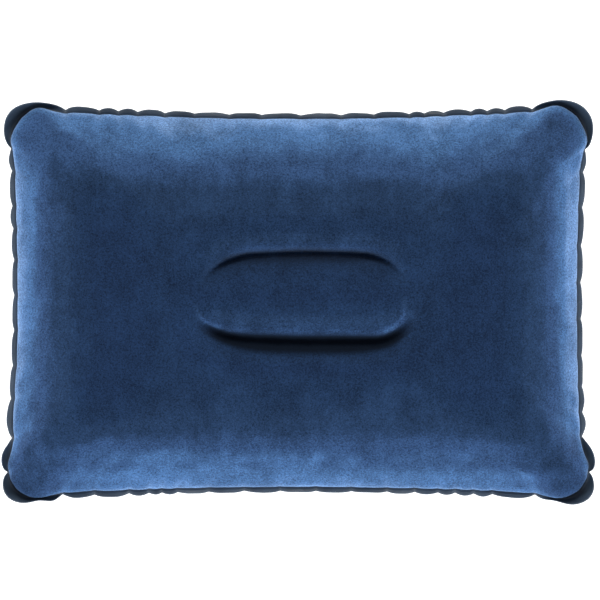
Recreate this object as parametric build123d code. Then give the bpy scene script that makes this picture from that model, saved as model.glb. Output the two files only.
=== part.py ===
"""Inflatable camp pillow: two sheets welded round the edge, two inner webs, and a push-in mouth valve.

Frame, in millimetres: origin at the centre of the flat underside that the pillow rests on,
+Z up through the crown, +X along the long side, +Y towards the back long side.
"""
from build123d import *
import math
import os

# ---------------------------------------------------------------- pillow sizes
SEAM_Z = 42.0        # height of the welded seam plane above the rest face
TOP_RISE = 50.0      # crown above the seam plane
CROWN_Z = SEAM_Z + TOP_RISE

WELD_HALF_X = 208.0  # centre to the weld line at mid side
WELD_HALF_Y = 136.5
WELD_BOW_X = 4.0     # how far the short sides curve in between the corners
WELD_BOW_Y = 9.0     # how far the long sides curve in between the corners
WELD_R = 30.0        # corner radius of the weld line
BOW_FADE = 28.0      # inset over which the bow falls by a factor of e
BOW_MIN = 0.05       # keeps every side a true arc
CORNER_MARGIN = 4.0  # least difference between half width and corner radius

BAND_HALF_X = 212.5  # centre to the outer edge of the weld band at mid side
BAND_HALF_Y = 140.5
BAND_BOW_X = 12.0    # the band is wider at the corners, where it forms ears
BAND_BOW_Y = 12.2
BAND_R = 24.0        # corner radius of an ear
BAND_T = 0.9         # thickness of the fused band

TOP_T = 1.0          # flocked sheet: 0.4 film and 0.6 pile
FOOT_T = 0.5         # plain film of the underside
CROWN_INSET = 100.0  # inset at which the top becomes level
FOOT_INSET = 66.0    # inset at which the underside becomes the flat rest face
TOP_GROWTH = 0.30    # corner radius gained per millimetre of inset
FOOT_GROWTH = 0.12

# ---------------------------------------------------------------- web and groove sizes
PAD_X = 5.0          # the centre pad sits slightly off the middle of the pillow
PAD_Y = 4.0
WEB_Y = 32.0         # half distance between the two webs
WEB_BEND = 30.0      # bend radius of the web ends
WEB_T = 0.4          # web film
TAB_W = 4.4          # welded tab along each long edge of a web
TAB_T = 0.4
# Name: half straight length, turn of each end in degrees, side of the pad (1 is the back)
WEBS = {
    "web_rear": (45.0, 50.0, 1),
    "web_front": (49.0, 62.0, -1),
}

TOP_FLOOR_Z = CROWN_Z - 13.0   # floor of the top grooves
FOOT_FLOOR_Z = 8.0             # floor of the underside grooves
GROOVE_HALF = 2.0    # half width of the groove floor
GROOVE_DRAFT = 24.0  # lean of the groove walls, degrees
GROOVE_OVERRUN = 3.0           # the cutters run this far past the surface
GROOVE_WIDEN = 0.75  # inner cutter's extra half width, as a share of the sheet thickness

# ---------------------------------------------------------------- valve sizes
VALVE_X, VALVE_Y = 112.0, -42.0   # valve axis, parallel to Z; it opens downwards
WELL_R = 13.0        # hole in the underside sheet
WELL_CUT_H = 6.0     # height of its cutter, centred on the rest face
BASE_R = 19.0        # outer radius of the welded base ring
BASE_TOP_Z = FOOT_T + 1.0
BASE_BEVEL_R, BASE_BEVEL_Z = 0.5, 0.3

STEM_R, BORE_R = 5.5, 4.0
MOUTH_Z, STEM_END_Z = 2.0, 18.0
MOUTH_BEVEL = 0.2
COLLAR_R, COLLAR_SINK = 6.5, 0.2
COLLAR_Z0, COLLAR_Z1 = 6.0, 7.0
LUG_T = 1.0          # both lugs on the stem
LUG_SINK = 0.3       # how far a lug starts inside the stem's radius
FLAP_LUG_L = 1.6

CAP_R = 6.6
CAP_Z0, CAP_Z1 = 0.4, 1.9
CAP_BEVEL = 0.5
PLUG_R, PLUG_TIP_R = 3.9, 2.9
PLUG_BAND, PLUG_L = 1.5, 4.6   # straight part and full length, from the mouth

HINGE_X = 9.0        # strap hinge, distance from the valve axis
HINGE_Z = 1.95
BEAD_R = 0.6
STRAP_W, STRAP_T = 5.0, 1.0
HINGE_LUG_END = 1.0  # how far the lug runs past the hinge
GAP = 0.05           # running clearance at lug and flap

FLAP_R, FLAP_T = 5.1, 0.4
FLAP_Z = STEM_END_Z + GAP
FLAP_BEAD_X = -5.75  # from the valve axis
FLAP_BEAD_R = 0.4
FLAP_HINGE_W, FLAP_TAB_L = 3.0, 1.2

# Skirt section: (radius, z), down the two faces; FIT keeps it just clear of ring and stem
FIT = 0.02
SKIRT_LOWER = [   # from the base ring in to the stem
    (WELL_R - FIT, 0.6), (12.3, 2.2), (11.5, 6.0), (10.6, 10.2),
    (9.2, 13.4), (7.2, 15.0), (STEM_R + FIT, 15.4),
]
SKIRT_UPPER = [   # from the stem back out to the base ring
    (STEM_R + FIT, 16.1), (7.4, 15.7), (9.7, 13.9), (11.25, 10.5),
    (12.15, 6.2), (12.8, 2.6), (WELL_R - FIT, 1.4),
]


# ---------------------------------------------------------------- domed panels
def pincushion(half_x, half_y, bow_x, bow_y, radius):
    """Level face: four inward-bowed sides with rounded corners."""
    corner_x, corner_y = half_x + bow_x, half_y + bow_y
    sides = (ThreePointArc((-corner_x, -corner_y), (0, -half_y), (corner_x, -corner_y))
             + ThreePointArc((corner_x, -corner_y), (half_x, 0), (corner_x, corner_y))
             + ThreePointArc((corner_x, corner_y), (0, half_y), (-corner_x, corner_y))
             + ThreePointArc((-corner_x, corner_y), (-half_x, 0), (-corner_x, -corner_y)))
    face = make_face(sides)
    return fillet(face.vertices(), radius)


def section(inset, z, growth):
    """Level section of a dome, inset from the weld line; the bow fades inwards."""
    fade = math.exp(-inset / BOW_FADE)
    half_x, half_y = WELD_HALF_X - inset, WELD_HALF_Y - inset
    bow_x, bow_y = max(BOW_MIN, WELD_BOW_X * fade), max(BOW_MIN, WELD_BOW_Y * fade)
    radius = min(WELD_R + growth * inset, half_y - CORNER_MARGIN)
    return Pos(0, 0, z) * pincushion(half_x, half_y, bow_x, bow_y, radius)


def dome_profile(height, width, inner_power, outer_power, insets):
    """Stations (inset, rise, slope angle) of a superelliptic dome profile."""
    def rise(inset):
        return height * (1 - (1 - inset / width) ** inner_power) ** outer_power

    stations = []
    for inset in insets:
        reach = 0.02 * width if inset > 1 else 0.5
        low, high = max(0.0, inset - reach), min(width, inset + reach)
        slope = math.atan2(rise(high) - rise(low), high - low)
        stations.append((inset, rise(inset), slope))
    return stations


def offset_inwards(stations, sheet):
    """Profile of the sheet's inner face; its first station stays on the seam plane."""
    first_inset, _, first_slope = stations[0]
    moved = [(first_inset + sheet / math.sin(first_slope), 0.0)]
    for inset, rise, slope in stations[1:]:
        moved.append((inset + sheet * math.sin(slope), rise - sheet * math.cos(slope)))
    return moved


def dome(stations, up, growth):
    return loft([section(station[0], SEAM_Z + up * station[1], growth) for station in stations])


def ribbon(half, turn, side, half_w, round_ends=True):
    """Flat strip along a web: a straight run, both ends bent towards the pad's centre line."""
    y = PAD_Y + side * WEB_Y
    shape = Pos(PAD_X, y) * Rectangle(2 * half, 2 * half_w)
    for end in (-1, 1):
        bend_x, bend_y = PAD_X + end * half, y - side * WEB_BEND
        ring = Pos(bend_x, bend_y) * (Circle(WEB_BEND + half_w) - Circle(WEB_BEND - half_w))
        start = 90.0 if side > 0 else -90.0
        sweep = -end * side * turn
        reach = 3 * WEB_BEND
        angles = [math.radians(start + sweep * k / 4) for k in range(5)]
        wedge = make_face(Polyline(
            (bend_x, bend_y),
            *[(bend_x + reach * math.cos(a), bend_y + reach * math.sin(a)) for a in angles],
            close=True))
        shape += ring & wedge
        if round_ends:
            tip_x = bend_x + WEB_BEND * math.cos(angles[-1])
            tip_y = bend_y + WEB_BEND * math.sin(angles[-1])
            shape += Pos(tip_x, tip_y) * Circle(half_w)
    return shape


def groove(web_shape, floor_z, open_z, extra):
    """Tapered channel cutter, widening from its floor towards the outside."""
    floor_half = GROOVE_HALF + extra
    open_half = floor_half + abs(open_z - floor_z) * math.tan(math.radians(GROOVE_DRAFT))
    floor = Pos(0, 0, floor_z) * ribbon(*web_shape, floor_half)
    opening = Pos(0, 0, open_z) * ribbon(*web_shape, open_half)
    return loft([floor.face(), opening.face()], ruled=True)


def make_panel(stations, up, growth, sheet, floor_z, open_z):
    """Domed sheet with a groove along each web; up is 1 for the top, -1 for the underside."""
    outer = dome(stations, up, growth)
    inner = dome(offset_inwards(stations, sheet), up, growth)
    for web_shape in WEBS.values():
        outer -= groove(web_shape, floor_z, open_z, 0)
        inner -= groove(web_shape, floor_z - up * sheet, open_z, sheet * GROOVE_WIDEN)
    return outer - inner


def make_top_panel():
    stations = dome_profile(TOP_RISE, CROWN_INSET, 2.6, 0.625,
                            [0, 1.5, 4.5, 9.5, 17, 27, 40, 56, 72, 87, 100])
    return make_panel(stations, 1, TOP_GROWTH, TOP_T, TOP_FLOOR_Z, CROWN_Z + GROOVE_OVERRUN)


def make_bottom_panel():
    stations = dome_profile(SEAM_Z, FOOT_INSET, 2.3, 0.60,
                            [0, 1.2, 4.0, 8.5, 15, 24, 36, 50, 66])
    panel = make_panel(stations, -1, FOOT_GROWTH, FOOT_T, FOOT_FLOOR_Z, -GROOVE_OVERRUN)
    return panel - AT_VALVE * Cylinder(WELL_R, WELL_CUT_H)


# ---------------------------------------------------------------- edge band and webs
def make_edge_band():
    outline = pincushion(BAND_HALF_X, BAND_HALF_Y, BAND_BOW_X, BAND_BOW_Y, BAND_R)
    hole = pincushion(WELD_HALF_X, WELD_HALF_Y, WELD_BOW_X, WELD_BOW_Y, WELD_R)
    return extrude(Pos(0, 0, SEAM_Z - BAND_T / 2) * (outline - hole), BAND_T)


def make_web(web_shape):
    """Upright film between the groove floors, with a flat tab along each edge."""
    z0, z1 = FOOT_FLOOR_Z + FOOT_T, TOP_FLOOR_Z - TOP_T
    wall = extrude(Pos(0, 0, z0) * ribbon(*web_shape, WEB_T / 2, False), z1 - z0)
    tab = ribbon(*web_shape, TAB_W / 2, False)
    low_tab = extrude(Pos(0, 0, z0) * tab, TAB_T)
    high_tab = extrude(Pos(0, 0, z1 - TAB_T) * tab, TAB_T)
    return wall + low_tab + high_tab


# ---------------------------------------------------------------- valve
AT_VALVE = Pos(VALVE_X, VALVE_Y, 0)


def lathe(points):
    """Solid of revolution about the valve axis from (radius, z) points."""
    outline = Polyline(*[(r, 0, z) for r, z in points], close=True)
    return AT_VALVE * revolve(make_face(outline), Axis.Z)


def valve_box(x, z, length, width, height, x_align=Align.MIN):
    """Box standing on z, centred across Y, with one end at x from the valve axis."""
    return AT_VALVE * Pos(x, 0, z) * Box(
        length, width, height, align=(x_align, Align.CENTER, Align.MIN))


def hinge_bead(x, z, radius, width):
    """Round bar along Y."""
    return AT_VALVE * Pos(x, 0, z) * Rot(90, 0, 0) * Cylinder(radius, width)


def make_base():
    return lathe([(WELL_R, FOOT_T), (BASE_R, FOOT_T), (BASE_R, BASE_TOP_Z - BASE_BEVEL_Z),
                  (BASE_R - BASE_BEVEL_R, BASE_TOP_Z), (WELL_R, BASE_TOP_Z)])


def make_skirt():
    """Rolling skirt between base ring and stem; at rest it is turned inwards as a cup."""
    return lathe(SKIRT_LOWER + SKIRT_UPPER)


def make_stem():
    """Mouth tube with a collar, the strap hinge's lug at +X and the flap's lug at -X."""
    tube = lathe([(BORE_R, MOUTH_Z), (STEM_R - MOUTH_BEVEL, MOUTH_Z),
                  (STEM_R, MOUTH_Z + MOUTH_BEVEL), (STEM_R, STEM_END_Z), (BORE_R, STEM_END_Z)])
    lug_x = STEM_R - LUG_SINK
    strap_lug = valve_box(lug_x, HINGE_Z + BEAD_R + GAP,
                          HINGE_X + HINGE_LUG_END - lug_x, STRAP_W, LUG_T)
    collar = lathe([(STEM_R - COLLAR_SINK, COLLAR_Z0), (COLLAR_R, COLLAR_Z0),
                    (COLLAR_R, COLLAR_Z1), (STEM_R - COLLAR_SINK, COLLAR_Z1)])
    flap_lug = valve_box(-lug_x, STEM_END_Z - LUG_T, FLAP_LUG_L, FLAP_HINGE_W, LUG_T, Align.MAX)
    return tube + strap_lug + collar + flap_lug


def make_flap():
    """Disc over the inner end of the stem, with a tab and a hinge bead."""
    top_z = FLAP_Z + FLAP_T
    disc = lathe([(0, FLAP_Z), (FLAP_R, FLAP_Z), (FLAP_R, top_z), (0, top_z)])
    bead = hinge_bead(FLAP_BEAD_X, FLAP_Z + FLAP_BEAD_R, FLAP_BEAD_R, FLAP_HINGE_W)
    tab = valve_box(FLAP_BEAD_X, FLAP_Z, FLAP_TAB_L, FLAP_HINGE_W, FLAP_T)
    return disc + tab + bead


def make_plug():
    """Cap below the mouth, with a tapered plug up into the bore."""
    return lathe([(0, CAP_Z0), (CAP_R - CAP_BEVEL, CAP_Z0), (CAP_R, CAP_Z0 + CAP_BEVEL),
                  (CAP_R, CAP_Z1), (PLUG_R, CAP_Z1), (PLUG_R, MOUTH_Z + PLUG_BAND),
                  (PLUG_TIP_R, MOUTH_Z + PLUG_L), (0, MOUTH_Z + PLUG_L)])


def make_strap():
    """Flat tongue from the cap's rim to a round hinge bead, kept outside the cap's radius."""
    tongue = valve_box(CAP_R, CAP_Z1 - STRAP_T, HINGE_X - CAP_R, STRAP_W, STRAP_T)
    bead = hinge_bead(HINGE_X, HINGE_Z, BEAD_R, STRAP_W)
    return (tongue + bead) - lathe([(0, 0), (CAP_R, 0), (CAP_R, 4), (0, 4)])


# ---------------------------------------------------------------- export
parts = {
    "top_panel": make_top_panel(),
    "bottom_panel": make_bottom_panel(),
    "edge_weld_band": make_edge_band(),
    **{name: make_web(web_shape) for name, web_shape in WEBS.items()},
    "valve_base": make_base(),
    "valve_skirt": make_skirt(),
    "valve_stem": make_stem(),
    "valve_flap": make_flap(),
    "valve_plug": make_plug(),
    "valve_strap": make_strap(),
}

os.makedirs("parts", exist_ok=True)
for name, shape in parts.items():
    solids = shape.solids()
    part = solids[0] if len(solids) == 1 else Compound(children=list(solids))
    part.label = name
    export_step(part, f"parts/{name}.step")
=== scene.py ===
"""An inflated cushion with a flocked top and a film underside, joined by a puckered welded band.

Two webs inside draw a crease into both sheets at the rear and front of a middle pad, and a
valve sits in the underside. The cushion lies on z = 0, long in x, with its front towards -y.
Shapes are worked out in millimetres and turned into metres when a mesh is made.
"""
import math
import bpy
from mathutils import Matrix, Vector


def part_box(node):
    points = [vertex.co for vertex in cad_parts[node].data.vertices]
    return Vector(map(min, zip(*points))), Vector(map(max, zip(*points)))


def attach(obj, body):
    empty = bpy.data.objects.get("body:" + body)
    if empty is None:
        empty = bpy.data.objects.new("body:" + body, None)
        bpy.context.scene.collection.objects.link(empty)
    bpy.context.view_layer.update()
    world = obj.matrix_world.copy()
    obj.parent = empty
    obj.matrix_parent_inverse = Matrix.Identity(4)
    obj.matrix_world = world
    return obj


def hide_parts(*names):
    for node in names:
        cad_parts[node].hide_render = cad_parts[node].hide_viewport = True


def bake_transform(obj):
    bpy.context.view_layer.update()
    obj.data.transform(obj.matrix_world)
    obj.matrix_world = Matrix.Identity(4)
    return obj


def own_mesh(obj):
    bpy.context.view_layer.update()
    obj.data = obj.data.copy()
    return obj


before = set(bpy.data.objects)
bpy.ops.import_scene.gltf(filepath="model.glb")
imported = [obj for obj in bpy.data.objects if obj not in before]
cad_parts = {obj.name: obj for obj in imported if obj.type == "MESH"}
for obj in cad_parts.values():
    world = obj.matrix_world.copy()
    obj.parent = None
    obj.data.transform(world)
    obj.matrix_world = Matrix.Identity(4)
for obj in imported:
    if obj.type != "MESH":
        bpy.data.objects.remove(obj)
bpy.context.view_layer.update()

from types import SimpleNamespace

import bmesh
import bpy
import numpy as np
from mathutils import Vector, kdtree

scene = bpy.context.scene
MM = 0.001


# ------------------------------------------------------------------ sizes, in mm
def box_mm(name):
    return [np.array(corner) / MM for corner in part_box(name)]


top_hi = box_mm("top_panel")[1]
band_lo, band_hi = box_mm("edge_weld_band")
base_lo, base_hi = box_mm("valve_base")
REAR_WEB_Y = box_mm("web_rear")[1][1]
FRONT_WEB_Y = box_mm("web_front")[0][1]

SEAM_Z = (band_lo[2] + band_hi[2]) / 2
TOP_Z = 92.0
VALVE_X, VALVE_Y = (base_lo[:2] + base_hi[:2]) / 2
VALVE_HOLE_RADIUS = 13.0
HALF_LENGTH = top_hi[0] - 2.6     # to the seam, at mid side
HALF_WIDTH = top_hi[1] - 7.0
BOW_X, BOW_Y = 4.6, 7.4           # how far the corners reach beyond the mid sides
CORNER_RADIUS = 20.0
TOP_THICK, BOTTOM_THICK = 1.0, 0.5
PAD_X, PAD_Y = 7.0, (REAR_WEB_Y + FRONT_WEB_Y) / 2

# left (-x) and right (+x): x where the straight part ends, radius of the curl, its angle
# side: +1 at the rear of the pad, -1 at its front
# bow: x it starts from, then its amount towards the left and towards the right
WEB_REAR = SimpleNamespace(left=(-34.4, 48.0, 38.0), right=(48.6, 39.0, 38.0),
                           side=1, y=REAR_WEB_Y - 2.2, bow=(9.6, 2.8, 2.8))
WEB_FRONT = SimpleNamespace(left=(-39.0, 66.0, 26.0), right=(54.5, 36.5, 46.0),
                            side=-1, y=FRONT_WEB_Y + 2.2, bow=(16.0, 2.0, 0.0))

# the sheet's grid: cells along x and across y, and how much finer the final grid is
CELLS_X, CELLS_Y = 112, 76
RINGS = CELLS_Y // 2
FINER = 4
FINE_X, FINE_Y = CELLS_X * FINER, CELLS_Y * FINER
MIDDLE = (FINE_X // 2, FINE_Y // 2)


# ------------------------------------------------------------------ numeric helpers
def smooth(x):
    x = np.clip(x, 0, 1)
    return x * x * (3 - 2 * x)


def rise(x, start, length):
    """Eases from 0 at start to 1 a length further on."""
    return smooth((x - start) / length)


def fall(x, start, length):
    """Eases from 1 at start to 0 a length further on."""
    return 1 - rise(x, start, length)


def bell(x, width, at=0.0):
    return np.exp(-((x - at) / width) ** 2)


def spline_weights(f):
    """Weights of four neighbouring points in a cubic B-spline."""
    return [(1 - f) ** 3 / 6, (3 * f ** 3 - 6 * f ** 2 + 4) / 6,
            (-3 * f ** 3 + 3 * f ** 2 + 3 * f + 1) / 6, f ** 3 / 6]


def noise(x, y, size, seed):
    """Smooth value noise, about -1 to 1, with features of the given size in mm."""
    cells = 96
    table = np.random.default_rng(seed).uniform(-1, 1, (cells, cells))
    u, v = np.asarray(x) / size + 48.0, np.asarray(y) / size + 48.0
    i, j = np.floor(u).astype(int), np.floor(v).astype(int)
    weights_u, weights_v = spline_weights(u - i), spline_weights(v - j)
    total = 0
    for a in range(4):
        for b in range(4):
            value = table[(i + a - 1) % cells, (j + b - 1) % cells]
            total = total + weights_u[a] * weights_v[b] * value
    return total * 2.0


def spline_matrix(n, m):
    """Cubic B-spline refinement of n + 1 points by m, passing through both ends."""
    matrix = np.zeros((n * m + 1, n + 1))
    for k in range(n * m + 1):
        i = min(k // m, n - 1)
        for a, weight in enumerate(spline_weights(k / m - i)):
            c = i + a - 1
            if c < 0:
                matrix[k, 0] += 2 * weight
                matrix[k, 1] -= weight
            elif c > n:
                matrix[k, n] += 2 * weight
                matrix[k, n - 1] -= weight
            else:
                matrix[k, c] += weight
    return matrix


def outward_normals(grid, sign):
    """Unit normals of a grid of points, upwards for sign 1 and downwards for -1."""
    normals = np.cross(np.gradient(grid, axis=0), np.gradient(grid, axis=1))
    normals = normals / np.maximum(np.linalg.norm(normals, axis=2, keepdims=True), 1e-9)
    return normals * (sign * np.sign(normals[MIDDLE][2]))


def distance_to_path(x, y, path):
    near = np.full(x.shape, 99.0)
    for (xa, ya), (xb, yb) in zip(path[:-1], path[1:]):
        square = (xb - xa) ** 2 + (yb - ya) ** 2
        t = np.clip(((x - xa) * (xb - xa) + (y - ya) * (yb - ya)) / square, 0, 1)
        near = np.minimum(near, np.hypot(x - xa - t * (xb - xa), y - ya - t * (yb - ya)))
    return near


# ------------------------------------------------------------------ mesh helpers
def grid_quads(index):
    return np.stack([index[:-1, :-1], index[1:, :-1], index[1:, 1:], index[:-1, 1:]],
                    axis=-1).reshape(-1, 4)


def closed_quads(rows, columns):
    """Faces of a grid that closes on itself both ways."""
    index = np.arange(rows * columns).reshape(rows, columns)
    next_row = np.roll(index, -1, 0)
    return np.stack([index, next_row, np.roll(next_row, -1, 1), np.roll(index, -1, 1)],
                    axis=-1).reshape(-1, 4)


def apply_modifiers(obj):
    graph = bpy.context.evaluated_depsgraph_get()
    mesh = bpy.data.meshes.new_from_object(obj.evaluated_get(graph),
                                           preserve_all_data_layers=True, depsgraph=graph)
    obj.modifiers.clear()
    old = obj.data
    obj.data = mesh
    mesh.name = obj.name
    bpy.data.meshes.remove(old)


def link_object(name, mesh):
    obj = bpy.data.objects.new(name, mesh)
    scene.collection.objects.link(obj)
    return obj


def mesh_object(name, points_mm, faces):
    mesh = bpy.data.meshes.new(name)
    mesh.from_pydata((np.asarray(points_mm) * MM).tolist(), [],
                     [tuple(int(v) for v in face) for face in faces])
    mesh.polygons.foreach_set("use_smooth", np.ones(len(mesh.polygons), bool))
    mesh.update()
    return link_object(name, mesh)


def add_attributes(mesh, attributes):
    for key, values in attributes.items():
        layer = mesh.attributes.new(key, "FLOAT", "POINT")
        layer.data.foreach_set("value", np.asarray(values, np.float32).ravel())


def recalculate_normals(obj):
    work = bmesh.new()
    work.from_mesh(obj.data)
    bmesh.ops.recalc_face_normals(work, faces=work.faces)
    work.to_mesh(obj.data)
    work.free()


def sharpen(obj, degrees):
    """Edges sharper than the angle are shaded sharp."""
    work = bmesh.new()
    work.from_mesh(obj.data)
    limit = math.radians(degrees)
    for face in work.faces:
        face.smooth = True
    for edge in work.edges:
        edge.smooth = not (len(edge.link_faces) == 2 and edge.calc_face_angle(0) > limit)
    work.to_mesh(obj.data)
    work.free()


# ------------------------------------------------------------------ rings round the seam
# each corner's place (x, y) and how far it is pushed out
CORNERS = [(-203.0, 136.0, -1.4), (203.0, 136.0, 1.6),
           (-203.0, -136.0, 3.0), (203.0, -136.0, 4.2)]

# blunt points: place (x, y), push (x, y), reach (x, y), share the welded band thins there
POINTS = [
    (-193.0, 143.0, 0.0, 3.3, 9.0, 14.0, 0.50), (-214.0, 119.0, -3.0, 0.0, 14.0, 9.0, 0.36),
    (191.5, 144.0, 0.0, 3.3, 9.0, 14.0, 0.42), (213.0, 119.0, 3.8, 0.0, 14.0, 9.0, 0.52),
    (-193.0, -146.0, 0.0, -1.8, 9.0, 14.0, 0.72), (-216.0, -124.0, -2.7, 0.0, 14.0, 9.0, 0.25),
    (192.0, -146.0, 0.0, -1.6, 9.0, 14.0, 0.60), (213.0, -124.0, 3.6, 0.0, 14.0, 9.0, 0.16),
    (-211.0, -78.0, -1.4, 0.0, 14.0, 30.0, 0.0)]


def dome_rings(height, width, inner_power, outer_power):
    """Inset and rise of each ring, the rings evenly spaced along the dome's profile."""
    inset = np.linspace(0, 1, 4000) ** 2.2 * HALF_WIDTH
    climb = height * (1 - (1 - np.minimum(inset, width) / width) ** inner_power) ** outer_power
    arc = np.concatenate([[0], np.cumsum(np.hypot(np.diff(inset), np.diff(climb)))])
    want = np.linspace(0, arc[-1], RINGS + 1)
    return np.interp(want, arc, inset), np.interp(want, arc, climb)


def ring_places(cells_x, cells_y):
    """Ring number, whether on a short side, place along the side (-1 to 1), signs of x and y."""
    i, j = np.meshgrid(np.arange(cells_x + 1), np.arange(cells_y + 1), indexing="ij")
    ring = np.minimum(np.minimum(i, cells_x - i), np.minimum(j, cells_y - j)).astype(float)
    u, v = i - cells_x / 2, j - cells_y / 2
    end_u, end_v = cells_x / 2 - ring, cells_y / 2 - ring
    short = (np.abs(np.abs(u) - end_u) < 1e-9) & (end_v > 0)
    place = np.where(short, v / np.maximum(end_v, 1e-9), u / np.maximum(end_u, 1e-9))
    return ring, short, np.clip(place, -1, 1), np.sign(u), np.sign(v)


def rounded_side(place, out, half, radius):
    """Distance out and along for places on a side that ends in half a rounded corner."""
    straight = half - radius
    along = np.abs(place) * (straight + radius * math.pi / 4)
    turn = np.where(radius > 1e-6,
                    np.maximum(along - straight, 0) / np.maximum(radius, 1e-6), 0)
    return (np.where(along <= straight, out, out - radius + radius * np.cos(turn)),
            np.where(along <= straight, along, straight + radius * np.sin(turn)))


def lay_out(short, place, sign_x, sign_y, inset, growth):
    """Plan position of each grid point; corner radii grow with the inset."""
    a, b = HALF_LENGTH - inset, HALF_WIDTH - inset
    radius = np.minimum(CORNER_RADIUS + growth * inset, np.maximum(b - 0.05 * CORNER_RADIUS, 0))
    radius = np.maximum(np.minimum(radius, np.minimum(a, b)), 0)
    out_x, along_y = rounded_side(place, a, b, radius)
    out_y, along_x = rounded_side(place, b, a, radius)
    x0 = np.where(short, out_x * sign_x, along_x * np.sign(place))
    y0 = np.where(short, along_y * np.sign(place), out_y * sign_y)
    fade = np.exp(-inset / 28.0)
    x = x0 * (1 + BOW_X / HALF_LENGTH * (y0 / HALF_WIDTH) ** 2 * fade)
    y = y0 * (1 + BOW_Y / HALF_WIDTH * (x0 / HALF_LENGTH) ** 2 * fade)
    # each corner is filled a little differently
    for cx, cy, push in CORNERS:
        shift = push * np.exp(-((x - cx) ** 2 + (y - cy) ** 2) / 26.0 ** 2)
        x, y = x + shift * math.copysign(0.76, cx), y + shift * math.copysign(0.65, cy)
    # the front edge stands out a little more in its middle
    front_swell = 1.3 * np.clip(1 - (x / HALF_LENGTH) ** 2, 0, 1) * np.abs(y0) / HALF_WIDTH * fade
    y = np.where(y < 0, y - front_swell, y)
    # each corner is cut across, so the sheet comes to two blunt points beside each ear
    for cx, cy, push_x, push_y, reach_x, reach_y, _ in POINTS:
        share = np.exp(-((x - cx) / reach_x) ** 2 - ((y - cy) / reach_y) ** 2)
        x, y = x + share * push_x, y + share * push_y
    return x, y


def base_sheet(rings, sign, growth):
    ring, *places = ring_places(CELLS_X, CELLS_Y)
    inset, climb = (np.interp(ring, np.arange(RINGS + 1), values) for values in rings)
    x, y = lay_out(*places, inset, growth)
    return np.stack([x, y, SEAM_Z + sign * climb], axis=2)


# half a short side and half a long side, each to the middle of its rounded corner
HALF_SHORT = (HALF_WIDTH - CORNER_RADIUS) + CORNER_RADIUS * math.pi / 4
HALF_LONG = (HALF_LENGTH - CORNER_RADIUS) + CORNER_RADIUS * math.pi / 4
PERIMETER = 4 * (HALF_SHORT + HALF_LONG)


def seam_distance(short, place, sign_x, sign_y):
    """Distance along the seam, anticlockwise from the middle of the +x side."""
    right = np.where(place >= 0, place * HALF_SHORT, PERIMETER + place * HALF_SHORT)
    rear = HALF_SHORT + (1 - place) * HALF_LONG
    left = HALF_SHORT + 2 * HALF_LONG + (1 - place) * HALF_SHORT
    front = 3 * HALF_SHORT + 2 * HALF_LONG + (1 + place) * HALF_LONG
    return np.where(short, np.where(sign_x >= 0, right, left),
                    np.where(sign_y >= 0, rear, front)) % PERIMETER


# ------------------------------------------------------------------ puckers of the welded edge
# the seam distance of each side's middle, and whether it grows or falls with x or y
SIDES = {"right": (0.0, 1), "rear": (HALF_SHORT + HALF_LONG, -1),
         "left": (2 * (HALF_SHORT + HALF_LONG), -1), "front": (3 * (HALF_SHORT + HALF_LONG), 1)}

# pinches of each side: place from the middle of the side (y on the short sides, x on the long
# ones), how far the next lobe (anticlockwise) stands out, and its tilt
PINCHES = {
    "right": (
        (-95.0, 1.0, 0.8), (-78.0, 0.7, 0.5), (-60.0, 0.5, -0.4), (-38.0, 0.6, 0.4),
        (-12.0, 0.5, 0.2), (14.0, 0.5, -0.4), (40.0, 0.6, 0.5), (67.0, 0.7, 0.6),
        (92.0, 0.9, 0.6), (108.0, 4.8, 5.0), (-118.0, 3.5, 3.2)),
    "rear": (
        (171.5, 1.3, 1.2), (151.5, 1.1, 0.7), (138.7, 1.1, 0.8), (126.8, 1.0, 0.9),
        (106.9, 0.8, -0.6), (92.8, 0.8, 0.5), (81.8, 0.9, 0.6), (56.0, 0.5, 0.3),
        (32.2, 0.4, -0.3), (2.4, 0.4, 0.2), (-25.9, 0.4, 0.2), (-49.8, 0.5, -0.3),
        (-75.1, 0.8, 0.4), (-96.8, 1.3, 0.8), (-116.6, 1.2, 0.7), (-130.7, 1.2, 0.9),
        (-144.8, 1.3, 1.2), (-169.5, 6.2, 5.0)),
    "left": (
        (109.5, 0.8, 0.5), (93.0, 0.6, 0.5), (68.0, 0.8, 0.6), (52.0, 0.5, 0.4),
        (30.0, 0.5, -0.3), (5.0, 0.5, 0.3), (-20.0, 0.5, 0.3), (-45.0, 0.6, -0.4),
        (-68.5, 1.5, 0.9), (-96.0, 3.6, 3.2), (-119.0, 5.4, 4.5)),
    "front": (
        (-171.0, 0.5, 1.0), (-148.0, 1.3, 0.8), (-122.9, 0.9, 0.6), (-108.3, 0.8, 0.5),
        (-98.9, 0.8, 0.5), (-87.4, 0.5, -0.3), (-64.7, 0.4, 0.2), (-38.6, 0.4, 0.2),
        (-12.5, 0.4, -0.2), (13.6, 0.4, 0.2), (39.6, 0.4, 0.3), (65.7, 0.6, -0.3),
        (85.8, 0.8, 0.5), (102.7, 0.9, 0.6), (115.3, 1.0, 0.7), (128.9, 1.0, 0.6),
        (142.4, 0.8, 1.2), (172.6, 6.0, 4.5)),
}
# exponent that sets where each corner ear is widest; 1 is its middle
EAR_SKEW = {("right", 108.0): 0.66, ("rear", -169.5): 1.45, ("left", -96.0): 1.8,
            ("left", -119.0): 0.62, ("front", 172.6): 2.1, ("right", -118.0): 0.58}
# how far the band is nipped in beside the ears, where it isn't the usual amount
USUAL_NIP, PLAIN_NIP = 2.2, 0.6
EAR_NIP = {("rear", -169.5): 1.1, ("rear", 171.5): 1.1, ("left", -96.0): 1.3,
           ("right", -95.0): 1.6}

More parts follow.
